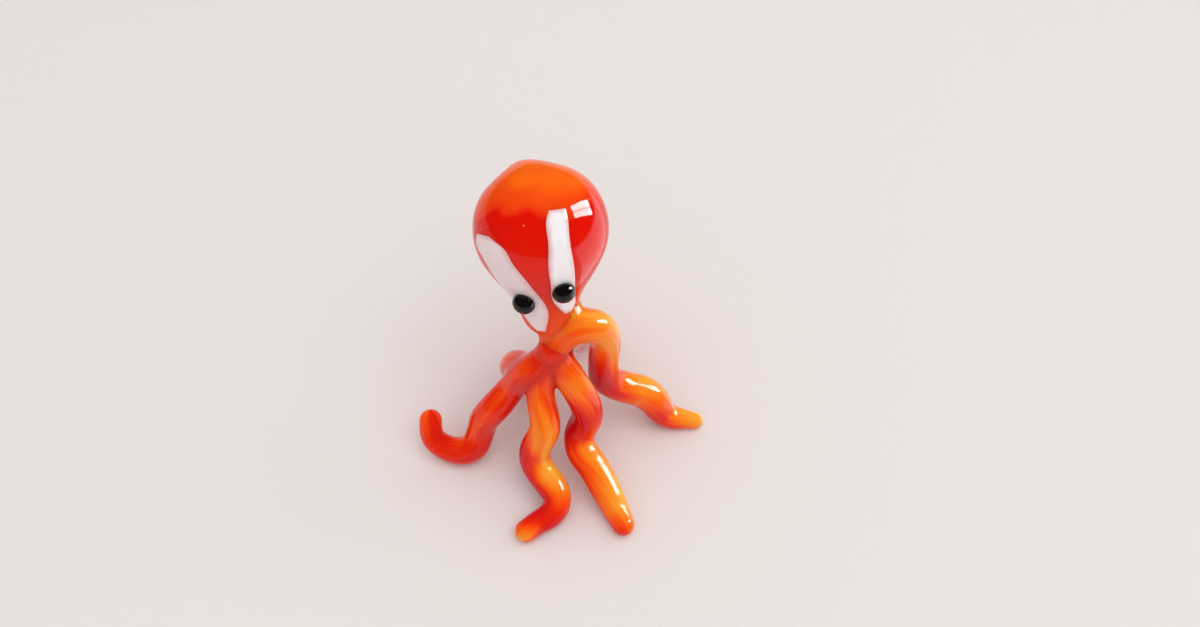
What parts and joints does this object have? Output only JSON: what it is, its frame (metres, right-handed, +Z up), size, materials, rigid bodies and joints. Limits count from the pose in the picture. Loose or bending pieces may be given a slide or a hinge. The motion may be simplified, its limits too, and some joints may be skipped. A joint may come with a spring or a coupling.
{
  "type": "octopus figurine",
  "caption": "Small lampworked glass octopus with a bulb head, inlaid white eye stripes, black pupils and wavy arms that it stands on.",
  "frame": {"origin": "middle of the footprint's bounding box, on the surface that the arms stand on", "axes": "+Z up from the arms to the head, -Y the way the face looks, +X towards the octopus's left"},
  "size_m": [0.0461, 0.0441, 0.0484],
  "materials": {
    "head_glass": "polished",
    "arm_glass": "polished",
    "white_glass": "polished",
    "black_glass": "polished"
  },
  "bodies": {
    "root": {"mantle": "head_glass", "arm_crown": "arm_glass", "arm_left": "arm_glass", "arm_front_left": "arm_glass", "arm_front": "arm_glass", "arm_right": "arm_glass", "arm_rear_right": "arm_glass", "arm_rear": "arm_glass", "eye_white_left": "white_glass", "eye_white_right": "white_glass", "pupil_left": "black_glass", "pupil_right": "black_glass"}
  },
  "joints": []
}
